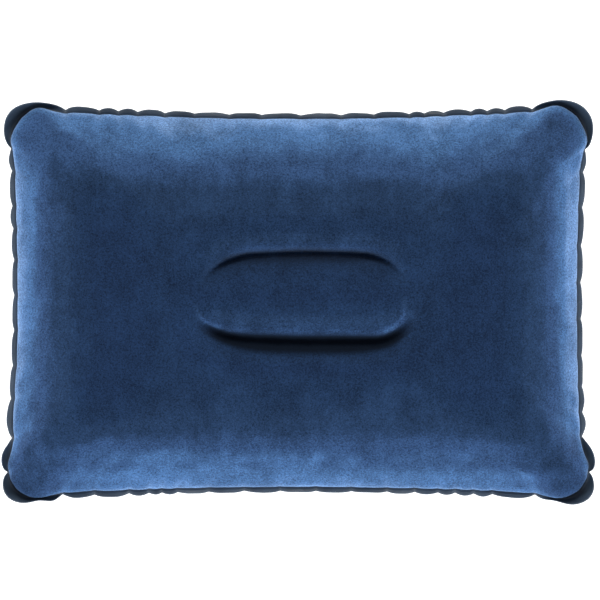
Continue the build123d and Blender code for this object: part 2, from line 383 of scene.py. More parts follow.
pinch_at, lobe_out, lobe_tilt, lobe_skew, ear_nip = np.array(sorted(
    ((SIDES[side][0] + SIDES[side][1] * place) % PERIMETER, out, tilt,
     EAR_SKEW.get((side, place), 1.0), EAR_NIP.get((side, place), USUAL_NIP))
    for side, row in PINCHES.items() for place, out, tilt in row)).T
PINCH_COUNT = len(pinch_at)
is_ear = lobe_out > 2.6
pinch_rng = np.random.default_rng(41)
pinch_strength = pinch_rng.uniform(0.7, 1.35, PINCH_COUNT)
pinch_reach = pinch_rng.uniform(8.0, 20.0, PINCH_COUNT)
pinch_lean = pinch_rng.uniform(-0.25, 0.25, PINCH_COUNT)


def lobes(seam_s):
    """Share of the lobe's height (0 at a pinch, 1 mid lobe), its tilt and its number."""
    number = (np.searchsorted(pinch_at, seam_s, side="right") - 1) % PINCH_COUNT
    span = (pinch_at[(number + 1) % PINCH_COUNT] - pinch_at[number]) % PERIMETER
    u = (((seam_s - pinch_at[number]) % PERIMETER) / span) ** lobe_skew[number]
    share = np.sin(math.pi * u) ** np.where(is_ear[number], 0.8, 0.85)
    return share, lobe_tilt[number] * np.sin(math.pi * u) ** 1.2, number


def from_pinch(seam_s, k):
    """Signed distance along the seam from pinch k."""
    return (seam_s - pinch_at[k] + PERIMETER / 2) % PERIMETER - PERIMETER / 2


def pinch_depth(seam_s, edge):
    """Sum of the valleys that run inwards from the pinches; edge is the distance from the seam."""
    total = np.zeros_like(seam_s)
    for k in range(PINCH_COUNT):
        out = min(max(lobe_out[k], lobe_out[k - 1]), 2.4)
        across = from_pinch(seam_s, k) - pinch_lean[k] * edge
        total += ((0.35 + 0.45 * out) * pinch_strength[k] * bell(across, 2.6 + 0.16 * edge)
                  * np.exp(-edge / pinch_reach[k]))
    return total


def edge_fullness(seam_s, edge, pinch_share):
    """Swell just inside the seam, fuller mid lobe, with a valley running in from each pinch."""
    share, _, number = lobes(seam_s)
    near = (edge / 5.0) * np.exp(1 - edge / 5.0)
    swell = (1.15 + 0.85 * share * np.minimum(lobe_out[number], 2.0) / 2.0) * near
    grip = 1 - np.exp(-edge / 1.8)
    return swell - pinch_depth(seam_s, edge) * grip * pinch_share


# ------------------------------------------------------------------ the creases over the webs
def web_line(web, tail):
    """A web's weld line: points, tangents, distance from its middle and past the weld's end."""
    step = 0.5
    (x_left, r_left, turn_left), (x_right, r_right, turn_right) = web.left, web.right
    middle, half = (x_left + x_right) / 2, (x_right - x_left) / 2
    end_left = half + r_left * math.radians(turn_left)
    end_right = half + r_right * math.radians(turn_right)
    along = np.arange(-int((end_left + tail) / step), int((end_right + tail) / step) + 1) * step
    away = np.abs(along)
    radius = np.where(along < 0, r_left, r_right)
    turn = np.minimum(np.maximum(away - half, 0) / radius, math.radians(86))
    x = middle + np.where(away <= half, away, half + radius * np.sin(turn)) * np.sign(along)
    y = web.y - web.side * np.where(away <= half, 0, radius * (1 - np.cos(turn)))
    # the straight part bows a little too
    bow_x, bow_left, bow_right = web.bow
    bow = np.where(x < bow_x, bow_left, bow_right)
    y -= web.side * bow * np.minimum(np.abs(x - bow_x) / 60.0, 1.6) ** 2
    tx, ty = np.gradient(x), np.gradient(y)
    length = np.hypot(tx, ty)
    past = away - np.where(along < 0, end_left, end_right)
    return x, y, tx / length, ty / length, along, past


def crease(x, y, line, side):
    """Distance to a web line (positive towards the pad), share of full depth, place, past end."""
    line_x, line_y, tx, ty, along, past = line
    best = np.full(x.shape, 1e9)
    index = np.zeros(x.shape, int)
    for k in range(len(line_x)):
        square = (x - line_x[k]) ** 2 + (y - line_y[k]) ** 2
        nearer = square < best
        best[nearer] = square[nearer]
        index[nearer] = k
    cross = (x - line_x[index]) * ty[index] - (y - line_y[index]) * tx[index]
    sign = np.where(cross * side > 0, 1.0, -1.0)
    return sign * np.sqrt(best), fall(past[index], -21.0, 36.0), along[index], past[index]


def crease_fields(grid):
    """The crease values of both webs, rear first, over a whole grid."""
    x, y = grid[..., 0], grid[..., 1]
    near = (np.abs(x - PAD_X) < 125) & (np.abs(y - PAD_Y) < 78)
    fields = []
    for web in (WEB_REAR, WEB_FRONT):
        field = [np.full(x.shape, far) for far in (99.0, 0.0, 0.0, 99.0)]
        line = web_line(web, tail=26.0)
        for values, found in zip(field, crease(x[near], y[near], line, web.side)):
            values[near] = found
        fields.append(field)
    return fields


def valley(across, pad_side, far_side, narrow_share):
    """Depth across a crease, 1 on the line; each side is (width, power, broad width)."""
    rounding = 0.55
    away = np.sqrt(across * across + rounding ** 2) - rounding
    width, power, broad_width = (np.where(across > 0, a, b) for a, b in zip(pad_side, far_side))
    narrow = np.clip(1 - away / width, 0, 1) ** power
    broad = np.clip(1 - away / broad_width, 0, 1) ** 2.0
    return narrow_share * narrow + (1 - narrow_share) * broad


def gathers(across, along, height, reach, seed):
    """Little gathers that run off a weld line."""
    away = np.abs(across)
    return (height * np.exp(-away / reach) * np.exp(-(2.0 / (away + 1.0)) ** 2)
            * noise(along, away * 0.25 + 40 * (across > 0), 3.6, seed))


# In the two looks below, besides the depth: shade is a painted shadow band along the crease, wider
# on its side away from the light, which thins towards the ends; the next field is painted shade
# that holds back the painted sheen on the crease walls; mark is painted shade along the weld line;
# the last is painted light and shade on the slopes beside the crease.
def rear_look(across, past):
    """The rear crease in the top, its longer slope on the pad's side."""
    pad = across > 0
    spread = across / (1 - 0.72 * rise(past, -42, 46))
    return SimpleNamespace(
        depth=valley(across, pad_side=(14.0, 2.0, 30.0), far_side=(8.5, 2.6, 30.0),
                     narrow_share=0.72),
        shade=np.where(pad, (0.42 + 0.40 * rise(spread, 1.5, 3.0)) * fall(spread, 2.0, 8.4),
                       0.42 * fall(-spread, -0.2, 1.5)),
        sheen_shade=np.where(pad, fall(across, 8, 20),
                      0.72 * fall(-across, 6, 6) + 0.28 * fall(-across, 0.6, 2.2)),
        mark=0.35 * bell(across, np.where(pad, 2.2, 1.0)),
        painted_lightness=0.17 * bell(across, 8.5, at=-11) - 0.09 * bell(across, 2.5, at=-2.5))


def front_look(across, past):
    """The front crease in the top, its longer slope away from the pad."""
    pad = across > 0
    spread = across / (1 - 0.48 * rise(past, -48, 50))
    return SimpleNamespace(
        depth=valley(across, pad_side=(9.0, 2.6, 31.0), far_side=(18.0, 1.9, 34.0),
                     narrow_share=0.62),
        shade=np.where(pad, fall(spread, 1.2, 6.4), fall(-spread, 7.0, 6.5)),
        sheen_shade=np.where(pad, 0.6 * fall(across, 5, 7) + 0.4 * fall(across, 1, 3),
                      fall(-across, 8, 24)),
        mark=0.6 * bell(across, np.where(pad, 1.3, 2.6)),
        painted_lightness=0.09 * bell(across, 6.5, at=12.5))


# ------------------------------------------------------------------ the sheets under air pressure
def pillow_object(top, bottom):
    """Both sheets as one closed mesh that shares its seam."""
    count = (CELLS_X + 1) * (CELLS_Y + 1)
    top_index = np.arange(count).reshape(CELLS_X + 1, CELLS_Y + 1)
    bottom_index = top_index.copy()
    inside = np.zeros(top_index.shape, bool)
    inside[1:-1, 1:-1] = True
    bottom_index[inside] = count + np.arange(inside.sum())
    points = np.zeros((count + inside.sum(), 3))
    points[top_index.ravel()] = top.reshape(-1, 3)
    points[bottom_index[inside]] = bottom[inside]
    faces = np.concatenate([grid_quads(top_index), grid_quads(bottom_index)[:, [0, 3, 2, 1]]])
    return mesh_object("sim", points, faces)


def add_cloth(obj, rest_key, frames):
    cloth = obj.modifiers.new("air", "CLOTH")
    settings = cloth.settings
    settings.quality = 5
    settings.mass = 0.3
    settings.tension_stiffness = settings.compression_stiffness = 15
    settings.shear_stiffness = 10
    settings.bending_stiffness = 1.0
    settings.tension_damping = settings.compression_damping = settings.shear_damping = 8
    settings.bending_damping = 0.5
    settings.air_damping = 1
    settings.use_pressure = True
    settings.uniform_pressure_force = 4.0
    settings.vertex_group_mass = "held"
    settings.pin_stiffness = 1.0
    settings.effector_weights.gravity = 0
    settings.rest_shape_key = rest_key
    cloth.collision_settings.use_collision = False
    cloth.collision_settings.use_self_collision = False
    cloth.point_cache.frame_start, cloth.point_cache.frame_end = 1, frames


def inflate(top, bottom):
    """Cloth under air pressure on an even remesh of the pillow, held at the seam and where it
    rests; its movement is carried back to both sheets."""
    frames = 20
    fullness = 1.014
    largest_move = 9.0
    obj = pillow_object(top, bottom)
    remesh = obj.modifiers.new("even", "REMESH")
    remesh.mode = "VOXEL"
    remesh.voxel_size = 5.0 * MM
    apply_modifiers(obj)
    count = len(obj.data.vertices)
    start = np.zeros(count * 3, np.float32)
    obj.data.vertices.foreach_get("co", start)
    start = start.reshape(-1, 3).astype(float)
    obj.shape_key_add(name="Basis")
    rest = obj.shape_key_add(name="cut")
    # the sheets are cut a little larger than the inflated shape, which gives them fullness
    centre = np.array([0, 0, SEAM_Z]) * MM
    rest.data.foreach_set("co", ((start - centre) * fullness + centre).ravel())
    z_mm = start[:, 2] / MM
    held = np.where((np.abs(z_mm - SEAM_Z) < 3.4) | (z_mm < 0.4))[0]
    obj.vertex_groups.new(name="held").add([int(v) for v in held], 1.0, "REPLACE")
    add_cloth(obj, rest, frames)
    scene.frame_start, scene.frame_end = 1, frames
    for number in range(1, frames + 1):
        scene.frame_set(number)
    moved = obj.evaluated_get(bpy.context.evaluated_depsgraph_get())
    end = np.zeros(count * 3, np.float32)
    moved.data.vertices.foreach_get("co", end)
    move = (end.reshape(-1, 3) - start) / MM
    length = np.linalg.norm(move, axis=1, keepdims=True)
    move *= np.minimum(1, largest_move / np.maximum(length, 1e-6))
    scene.frame_set(1)
    bpy.data.objects.remove(obj)
    tree = kdtree.KDTree(count)
    for k, point in enumerate(start):
        tree.insert(point, k)
    tree.balance()

    def carry(grid):
        shift = np.zeros_like(grid)
        for i in range(1, grid.shape[0] - 1):
            for j in range(1, grid.shape[1] - 1):
                near = tree.find_n(grid[i, j] * MM, 9)
                weight = bell(np.array([hit[2] for hit in near]), 4.5 * MM) + 1e-9
                moves = move[[hit[1] for hit in near]]
                shift[i, j] = (moves * weight[:, None]).sum(0) / weight.sum()
        # the film is stiffer than the cloth of the simulation: its small ridges are evened out
        for _ in range(40):
            around = shift[:-2, 1:-1] + shift[2:, 1:-1] + shift[1:-1, :-2] + shift[1:-1, 2:]
            shift[1:-1, 1:-1] = 0.5 * shift[1:-1, 1:-1] + 0.125 * around
        return grid + shift
    return carry(top), carry(bottom)


RINGS_TOP = dome_rings(TOP_Z - SEAM_Z, width=100.0, inner_power=2.6, outer_power=0.625)
RINGS_BOTTOM = dome_rings(SEAM_Z, width=66.0, inner_power=2.3, outer_power=0.60)
top = base_sheet(RINGS_TOP, sign=1, growth=0.30)
bottom = base_sheet(RINGS_BOTTOM, sign=-1, growth=0.12)
top, bottom = inflate(top, bottom)

refine_x, refine_y = spline_matrix(CELLS_X, FINER), spline_matrix(CELLS_Y, FINER)


def refine(grid):
    along = np.einsum("ai,ijc->ajc", refine_x, grid, optimize=True)
    return np.einsum("aj,ijc->iac", refine_y, along, optimize=True)


top, bottom = refine(top), refine(bottom)
ring, *places = ring_places(FINE_X, FINE_Y)
SEAM_S = seam_distance(*places)
# distance in from the seam along each sheet
EDGE_TOP, EDGE_BOTTOM = (ring / FINER * math.hypot(insets[1], climbs[1])
                         for insets, climbs in (RINGS_TOP, RINGS_BOTTOM))
SEAM_WAVE = 0.35 * noise(SEAM_S, np.zeros_like(SEAM_S), 26, 50)
SEAM_GAP = 0.38                   # from the seam's middle to either sheet


# ------------------------------------------------------------------ the flocked top
# painted highlights at the right and left ends of the pad, where their slopes catch the light: x, y
PAD_END_HIGHLIGHTS = (((78.2, 1.5), (78.6, -4.5), (77.9, -8.9), (75.2, -13.4), (72.3, -16.4),
         (67.8, -19.4), (64.0, -22.0)),
        ((-73.8, -3.0), (-72.6, -7.5), (-70.0, -11.2), (-67.8, -14.5), (-63.3, -16.8),
         (-58.0, -18.6)))


def painted_pile_lightness(x, y):
    """Painted light and shade on the pile; positive is lighter. Each entry is a strength and its
    pattern.
    """
    far_x, far_y = np.abs(x), np.abs(y)
    mid_length = fall(far_x, 150, 50)
    patterns = [
        # painted light: bands along x, two towards the rear and one near the front
        (0.085, bell(y, 20, at=104)),
        (0.035, bell(y, 24, at=62)),
        (0.05, bell(y, 13, at=-112)),
        # less painted sheen along the front edge
        (-0.20, rise(-y, 126, 10) * np.exp(-EDGE_TOP / 10.0)),
        (-0.05, bell(y, 5, at=-121) * mid_length),
        # less painted sheen along the rear edge
        (-0.11, bell(EDGE_TOP, 3, at=3) * rise(y, 100, 20) * mid_length),
        # less painted sheen down along both short sides
        (-0.17, rise(far_x, 95, 40) * fall(far_x, 155, 32) * fall(far_y, 50, 60)),
        (-0.05, bell(far_x, 9, at=191) * fall(far_y, 70, 40)),
        (-0.08, bell(far_x, 7.5, at=181) * fall(far_y, 95, 30)),
        # a narrow painted highlight by the right edge
        (0.06, bell(x, 3.5, at=200.5) * fall(far_y, 90, 40)),
        # painted shade in the four corners
        (-0.15, bell(far_x, 9, at=204) * bell(far_y, 12, at=106)),
        # left of the middle, near the rear and front edges
        (0.10, bell(x, 36, at=-90) * bell(y, 16, at=118)),
        (0.07, bell(x, 36, at=-90) * bell(y, 11, at=-117)),
        # right of the pad: a strip in the rear half, and ground beside the pad's end
        (0.07, bell(x, 14, at=104) * rise(y, 30, 25)),
        (0.09, bell(x, 13, at=86) * bell(y, 20, at=-10)),
    ]
    # painted highlights along the pad's ends
    patterns += [(0.17, bell(distance_to_path(x, y, lip), 2.0)) for lip in PAD_END_HIGHLIGHTS]
    return sum(strength * pattern for strength, pattern in patterns)


def detail_top(grid):
    """Shapes the top's grid in place and gives its attributes."""
    # level the crown on the frame's height
    z = grid[..., 2]
    grid[..., 2] = SEAM_Z + (z - SEAM_Z) * (TOP_Z + 0.3 - SEAM_Z) / (z.max() - SEAM_Z)
    normals = outward_normals(grid, 1)
    grid += normals * edge_fullness(SEAM_S, EDGE_TOP, pinch_share=0.72)[..., None]

    # slow unevenness of the sheet, none at the seam
    x, y = grid[..., 0], grid[..., 1]
    away = rise(EDGE_TOP, 0, 18.0)
    grid[..., 2] += away * (0.32 * noise(x, y, 34, 3) + 0.16 * noise(x, y, 15, 4)
                            + 0.05 * noise(x, y, 6, 5))
    ripple = (0.45 * noise(SEAM_S, EDGE_TOP * 0.6, 15, 6) + 0.2 * noise(SEAM_S, EDGE_TOP, 7, 16))
    grid += normals * (bell(EDGE_TOP, 20.0, at=26) * ripple)[..., None]

    x, y = grid[..., 0].copy(), grid[..., 1].copy()
    full_depth = 15.2
    # Besides the crease depth (drop), the loop gathers painted shade in the creases, painted shade
    # that holds back the painted sheen, and painted light and shade beside them.
    drop, mark, fold, sheen_shade = (np.zeros(x.shape) for _ in range(4))
    painted_lightness = painted_pile_lightness(x, y)
    for n, (look_of, field) in enumerate(zip((rear_look, front_look), crease_fields(grid))):
        across, share, along, past = field
        look = look_of(across, past)
        wobble = 1 + 0.04 * noise(along, np.zeros_like(along), 9, 20 + n)
        strength = smooth(share * 1.15)
        fold = np.maximum(fold, strength * look.shade)
        mark = np.maximum(mark, strength * look.mark)
        sheen_shade = np.maximum(sheen_shade, fall(past, -6, 30) * look.sheen_shade)
        painted_lightness += look.painted_lightness * fall(past, -14, 30)
        drop = np.maximum(drop, full_depth * share * look.depth * wobble)
        drop += gathers(across, along, height=0.45, reach=6.0, seed=30 + n) * share
    # painted shade in the four corners, which holds back the painted sheen there
    for cx in (-HALF_LENGTH, HALF_LENGTH):
        for cy, strength in ((-HALF_WIDTH, 0.34), (HALF_WIDTH, 0.20)):
            sheen_shade = np.maximum(sheen_shade, strength * bell(np.hypot(x - cx, y - cy), 40.0))
    grid[..., 2] += SEAM_WAVE * (1 - away) + SEAM_GAP - drop
    return {"crease": mark, "fold": fold, "sheen_shade": sheen_shade, "painted_lightness": painted_lightness,
            "rim": np.exp(-EDGE_TOP / 9.0), "seam_s": SEAM_S / PERIMETER}


# ------------------------------------------------------------------ the film underside
def detail_bottom(grid):
    """Shapes the underside's grid in place and gives its attributes."""
    fullness = edge_fullness(SEAM_S, EDGE_BOTTOM, pinch_share=1.1) * fall(EDGE_BOTTOM, 30, 30)
    grid += outward_normals(grid, -1) * fullness[..., None]
    grid[..., 2] += SEAM_WAVE * fall(EDGE_BOTTOM, 0, 18.0) - SEAM_GAP

    # level where it rests, with a soft turn up from the floor
    soft = 1.2
    z = grid[..., 2]
    turn_up = (z + soft) ** 2 / (4 * soft) * (z > -soft)
    z = np.where(z < soft, turn_up, z)
    x, y = grid[..., 0], grid[..., 1]
    from_valve = np.hypot(x - VALVE_X, y - VALVE_Y)
    z += (rise(EDGE_BOTTOM, 45, 25) * 0.18 * (1 + noise(x, y, 13, 61))
          * rise(from_valve, 20, 40))

    # the webs' creases are drawn up into it
    full_lift = 8.2
    mark, lift = np.zeros(z.shape), np.zeros(z.shape)
    for n, (across, share, along, _) in enumerate(crease_fields(grid)):
        depth = valley(across, pad_side=(9.0, 2.2, 18.0), far_side=(11.0, 2.2, 20.0),
                       narrow_share=0.62)
        lift = np.maximum(lift, full_lift * share * depth)
        lift += np.abs(gathers(across, along, height=0.35, reach=5.0, seed=70 + n)) * share
        mark = np.maximum(mark, share * bell(across, 2.6))
    z = np.maximum(z + lift, 0.02)
    # a low raised ring round the valve
    z += 0.22 * rise(from_valve, 13.6, 0.9) * fall(from_valve, 18.0, 0.9)
    grid[..., 2] = z
    return {"crease": mark, "rim": np.exp(-EDGE_BOTTOM / 9.0),
            "ring": rise(from_valve, 12.6, 0.8) * fall(from_valve, 18.6, 0.8)}


def sheet_object(name, grid, flip, thick, attributes):
    """A closed shell from a grid of points; thickness goes inwards."""
    count = grid.shape[0] * grid.shape[1]
    quads = grid_quads(np.arange(count).reshape(grid.shape[:2]))
    if flip:
        quads = quads[:, ::-1]
    mesh = bpy.data.meshes.new(name)
    mesh.vertices.add(count)
    mesh.vertices.foreach_set("co", (grid.reshape(-1, 3) * MM).astype(np.float32).ravel())
    mesh.loops.add(quads.size)
    mesh.loops.foreach_set("vertex_index", quads.astype(np.int32).ravel())
    mesh.polygons.add(len(quads))
    mesh.polygons.foreach_set("loop_start", (np.arange(len(quads)) * 4).astype(np.int32))
    mesh.polygons.foreach_set("loop_total", np.full(len(quads), 4, np.int32))
    mesh.polygons.foreach_set("use_smooth", np.ones(len(quads), bool))
    mesh.update(calc_edges=True)
    add_attributes(mesh, attributes)
    obj = link_object(name, mesh)
    shell = obj.modifiers.new("thickness", "SOLIDIFY")
    shell.thickness = thick * MM
    shell.offset = -1
    shell.use_even_offset = False
    shell.use_rim = True
    apply_modifiers(obj)
    return obj


def cut_valve_hole(obj):
    work = bmesh.new()
    radius = VALVE_HOLE_RADIUS * MM
    bmesh.ops.create_cone(work, cap_ends=True, segments=96, radius1=radius, radius2=radius,
                          depth=8 * MM)
    for vert in work.verts:
        vert.co.x += VALVE_X * MM
        vert.co.y += VALVE_Y * MM
    mesh = bpy.data.meshes.new("cutter")
    work.to_mesh(mesh)
    work.free()
    cutter = link_object("cutter", mesh)
    hole = obj.modifiers.new("hole", "BOOLEAN")
    hole.operation = "DIFFERENCE"
    hole.solver = "EXACT"
    hole.object = cutter
    apply_modifiers(obj)
    bpy.data.objects.remove(cutter)


top_attributes = detail_top(top)
bottom_attributes = detail_bottom(bottom)
mid_i, mid_j = MIDDLE
faces_up = np.cross(top[mid_i + 1, mid_j] - top[MIDDLE], top[mid_i, mid_j + 1] - top[MIDDLE])[2] > 0
flocked_top = sheet_object("flocked_top", top, not faces_up, TOP_THICK, top_attributes)
film_underside = sheet_object("film_underside", bottom, faces_up, BOTTOM_THICK,
                              bottom_attributes)
cut_valve_hole(film_underside)
sharpen(film_underside, 50)


# ------------------------------------------------------------------ welded edge
def seam_loop():
    """Points midway between the sheets' edges, anticlockwise, and their seam distances."""
    half = FINE_Y // 2
    order = ([(FINE_X, j) for j in range(half, FINE_Y)]
             + [(i, FINE_Y) for i in range(FINE_X, 0, -1)]
             + [(0, j) for j in range(FINE_Y, 0, -1)]
             + [(i, 0) for i in range(FINE_X)]
             + [(FINE_X, j) for j in range(half)])
    order = tuple(np.array(order).T)
    seam = (top[order] + bottom[order]) / 2
    seam_s = SEAM_S[order]
    # two points of the band for each point of the seam
    finer = 2
    count = len(seam)
    place = np.arange(count * finer) / finer
    before = np.floor(place).astype(int) % count
    after = (before + 1) % count
    share = place - np.floor(place)
    gap = (seam_s[after] - seam_s[before]) % PERIMETER
    seam = seam[before] * (1 - share[:, None]) + seam[after] * share[:, None]
    return seam, (seam_s[before] + gap * share) % PERIMETER


def band_width(seam, seam_s, number, share):
    width = 4.0 + lobe_out[number] * share + 0.22 * noise(seam_s, 0 * seam_s, 5.0, 80)
    # the band is nipped in at every pinch, most of all beside the ears
    for k in range(PINCH_COUNT):
        by_ear = is_ear[k] or is_ear[k - 1]
        nip, reach = (ear_nip[k], 5.0) if by_ear else (PLAIN_NIP, 4.2)
        width -= nip * bell(from_pinch(seam_s, k), reach)
    # and thins at the blunt points
    x, y = seam[:, 0], seam[:, 1]
    for cx, cy, push_x, push_y, reach_x, reach_y, thin in POINTS:
        share_x = bell(x - cx - push_x, reach_x if push_x == 0 else 99)
        share_y = bell(y - cy - push_y, reach_y if push_y == 0 else 99)
        width *= 1 - thin * share_x * share_y * (np.hypot(x - cx, y - cy) < 40)
    return np.maximum(width, 1.4)


def weld_band():
    thick = 0.9
    inner = 1.3                       # how far it reaches in between the sheets
    edge_radius = 0.42
    seam, seam_s = seam_loop()
    # smooth direction of the seam, then its outward normal in plan
    tangent = np.roll(seam, -6, 0) - np.roll(seam, 6, 0)
    tangent[:, 2] = 0
    tangent /= np.linalg.norm(tangent, axis=1, keepdims=True)
    outward = np.stack([tangent[:, 1], -tangent[:, 0], np.zeros(len(tangent))], axis=1)
    share, tilt, number = lobes(seam_s)
    fold = np.zeros(len(seam_s))
    for k in range(PINCH_COUNT):
        out = min(max(lobe_out[k], lobe_out[k - 1]), 3.0)
        fold += bell(from_pinch(seam_s, k), 1.5) * (0.35 + 0.4 * out) * pinch_strength[k]
    ear = np.where(is_ear[number], share, 0.0)
    width = band_width(seam, seam_s, number, share)

    steps = np.linspace(0, 1, 15)
    middle_rows = []
    for step in steps:
        reach = -inner + (width + inner) * step
        part = np.clip(reach / width, 0, 1)
        points = seam + outward * reach[:, None]
        z = tilt * part ** 1.6 * 1.15                        # lobes tilt up or down
        # ears dish, with a raised lip
        z += ear * (-3.1 * np.sin(math.pi * np.minimum(part * 1.15, 1)) + 3.3 * part ** 3)
        z -= fold * part ** 1.2 * 1.1
        # slight crown across the band
        z += (1 - ear) * 0.55 * np.sin(math.pi * part) * (0.6 + 0.4 * share)
        z += 0.35 * noise(seam_s, part * 3.0, 6.0, 81) * part
        points = points + outward * (-fold * 0.35 * part)[:, None]
        points[:, 2] += z
        # the weld line: a groove close to the sheets, and a shallow one nearer the cut edge
        groove = 0.30 * bell(part, 0.07, at=0.30) + 0.16 * bell(part, 0.05, at=0.72)
        middle_rows.append((points, thick / 2 * (1 - groove)))

    up = np.array([0.0, 0.0, 1.0])
    rows = [points + up * half[:, None] for points, half in middle_rows]
    tip = middle_rows[-1][0]
    for degrees in (50, 0, -50):
        angle = math.radians(degrees)
        rows.append(tip + edge_radius * (outward * math.cos(angle) + up * math.sin(angle)))
    rows += [points - up * half[:, None] for points, half in reversed(middle_rows)]
    rows = np.array(rows)
    row_count, loop_count = rows.shape[:2]
    obj = mesh_object("weld_edge", rows.reshape(-1, 3), closed_quads(row_count, loop_count))
    across = np.concatenate([steps, [1, 1, 1], steps[::-1]])
    add_attributes(obj.data, {"ear": np.tile(ear, row_count),
                              "across": np.repeat(across, loop_count),
                              "seam_s": np.tile(seam_s, row_count)})
    recalculate_normals(obj)
    return obj


weld_edge = weld_band()


# ------------------------------------------------------------------ inner webs
def sheet_heights(grid, xs, ys):
    """Height of a sheet at plan points, from its four nearest grid points."""
    points = grid[::2, ::2].reshape(-1, 3)
    near_pad = (np.abs(points[:, 0] - PAD_X) < 95) & (np.abs(points[:, 1] - PAD_Y) < 50)
    points = points[near_pad]
    heights = []
    for x, y in zip(xs, ys):
        square = (points[:, 0] - x) ** 2 + (points[:, 1] - y) ** 2
        nearest = np.argsort(square)[:4]
        weight = 1 / (square[nearest] + 0.05)
        heights.append(float((points[nearest, 2] * weight).sum() / weight.sum()))
    # evened out along the line
    return np.convolve(np.pad(np.array(heights), 3, "edge"), np.ones(7) / 7, "valid")


def web_object(name, web, seed):
    """A wavy upright strip between the sheets, with a tab along its top and bottom."""
    x, y, tx, ty, along = (values[::3] for values in web_line(web, tail=-1.0)[:5])
    high = sheet_heights(top, x, y) - TOP_THICK - 1.2
    low = sheet_heights(bottom, x, y) + BOTTOM_THICK + 0.8
    tab = 2.1
    # down the strip: offset across, share of the height, whether it is the wall
    profile = ([(offset, 1.0, False) for offset in np.linspace(tab, 0, 5)[:-1]]
               + [(0.0, share, True) for share in np.linspace(1, 0, 27)]
               + [(offset, 0.0, False) for offset in np.linspace(0, tab, 5)[1:]])
    phase = np.random.default_rng(seed).uniform(0, 6.28, 4)
    rows = []
    for offset, share, wall in profile:
        if wall:
            waves = (0.9 * np.sin(along / 11.0 + phase[0]) + 0.5 * np.sin(along / 4.7 + phase[1])
                     + 0.6 * np.sin(along / 23.0 + phase[2] + 3 * share))
            offset = math.sin(math.pi * share) * waves
        rows.append(np.stack([x - ty * offset * web.side, y + tx * offset * web.side,
                              low + (high - low) * share], axis=1))
    rows = np.array(rows)
    index = np.arange(rows.shape[0] * rows.shape[1]).reshape(rows.shape[:2])
    obj = mesh_object(name, rows.reshape(-1, 3), grid_quads(index))
    shell = obj.modifiers.new("thickness", "SOLIDIFY")
    shell.thickness = 0.4 * MM
    shell.offset = 0
    apply_modifiers(obj)
    sharpen(obj, 60)
    return obj


inner_web_rear = web_object("inner_web_rear", WEB_REAR, seed=5)
inner_web_front = web_object("inner_web_front", WEB_FRONT, seed=6)

# ------------------------------------------------------------------ valve cup
# the thin cup's two skins: radius from the valve's axis, height z
CUP_OUTER = [(12.98, 0.6), (12.75, 1.2), (12.3, 2.2), (11.95, 3.9), (11.5, 6.0), (11.1, 8.2),
             (10.6, 10.2), (10.0, 12.0), (9.2, 13.4), (8.3, 14.4), (7.2, 15.0), (6.3, 15.3),
             (5.52, 15.4)]
CUP_INNER = [(5.52, 16.1), (6.4, 16.0), (7.4, 15.7), (8.7, 15.0), (9.7, 13.9), (10.6, 12.3),
             (11.25, 10.5), (11.75, 8.4), (12.15, 6.2), (12.5, 4.3), (12.8, 2.6), (12.92, 1.9),
             (12.98, 1.4)]


def valve_cup():
    """A thin cup, turned about the valve's axis from its two skins."""
    profile = []
    for skin in (np.array(CUP_OUTER), np.array(CUP_INNER)):
        for here, after in zip(skin[:-1], skin[1:]):
            profile += [here * (1 - q) + after * q for q in np.linspace(0, 1, 4)[:-1]]
        profile.append(skin[-1])
    profile = np.array(profile)
    segments = 96
    angle = np.arange(segments) * 2 * math.pi / segments
    radius, z = profile[:, :1], profile[:, 1:]
    points = np.stack([VALVE_X + radius * np.cos(angle), VALVE_Y + radius * np.sin(angle),
                       np.repeat(z, segments, 1)], axis=-1)
    faces = closed_quads(len(profile), segments)[:, [0, 3, 2, 1]]
    obj = mesh_object("valve_cup", points.reshape(-1, 3), faces)
    recalculate_normals(obj)
    sharpen(obj, 50)
    return obj


cup = valve_cup()


